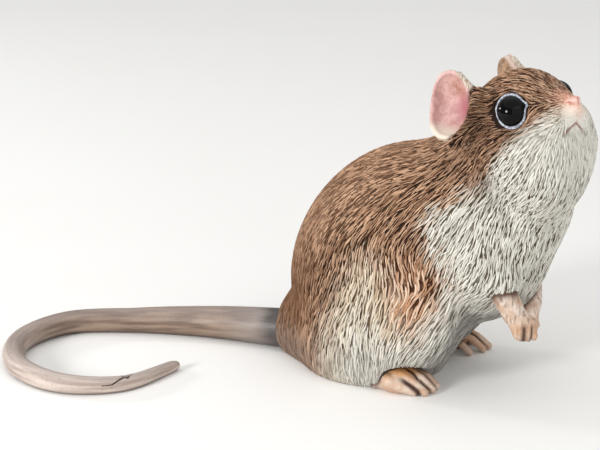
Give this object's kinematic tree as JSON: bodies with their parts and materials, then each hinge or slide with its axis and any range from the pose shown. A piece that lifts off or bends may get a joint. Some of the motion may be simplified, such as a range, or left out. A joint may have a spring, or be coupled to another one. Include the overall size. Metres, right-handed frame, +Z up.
{
  "type": "field mouse figurine",
  "caption": "Life-size cast and painted figurine of a field mouse sitting up, head turned and raised, tail laid in a hook.",
  "frame": {"origin": "middle of the sitting flat under the rump, on the level of every resting flat", "axes": "+X the way the body faces, +Y the figure's left side, +Z up"},
  "size_m": [0.1253, 0.0656, 0.0701],
  "materials": {
    "brown_coat": "carved fur in cast resin, painted warm brown with a dark wash in the cuts, satin-matt",
    "pale_coat": "carved fur in cast resin, painted cream white with grey and tan washes, satin-matt",
    "bare_skin": "smooth cast resin painted peach with brown between the digits",
    "ear_pink": "smooth cast resin painted pink inside with a cream rim",
    "tail_skin": "smooth cast resin painted grey-brown, paler along the far bend",
    "eye_gloss": "polished black bead"
  },
  "bodies": {
    "root": {"trunk": "brown_coat", "neck": "pale_coat", "head": "brown_coat", "nose": "bare_skin", "eye_left": "eye_gloss", "eye_right": "eye_gloss", "ear_left": "ear_pink", "ear_right": "ear_pink", "foreleg_left": "pale_coat", "foreleg_right": "pale_coat", "forepaw_left": "bare_skin", "forepaw_right": "bare_skin", "hindleg_left": "pale_coat", "hindleg_right": "pale_coat", "hindfoot_left": "bare_skin", "hindfoot_right": "bare_skin", "tail_root": "tail_skin", "tail_middle": "tail_skin", "tail_bend": "tail_skin", "tail_tip": "tail_skin"}
  },
  "joints": []
}
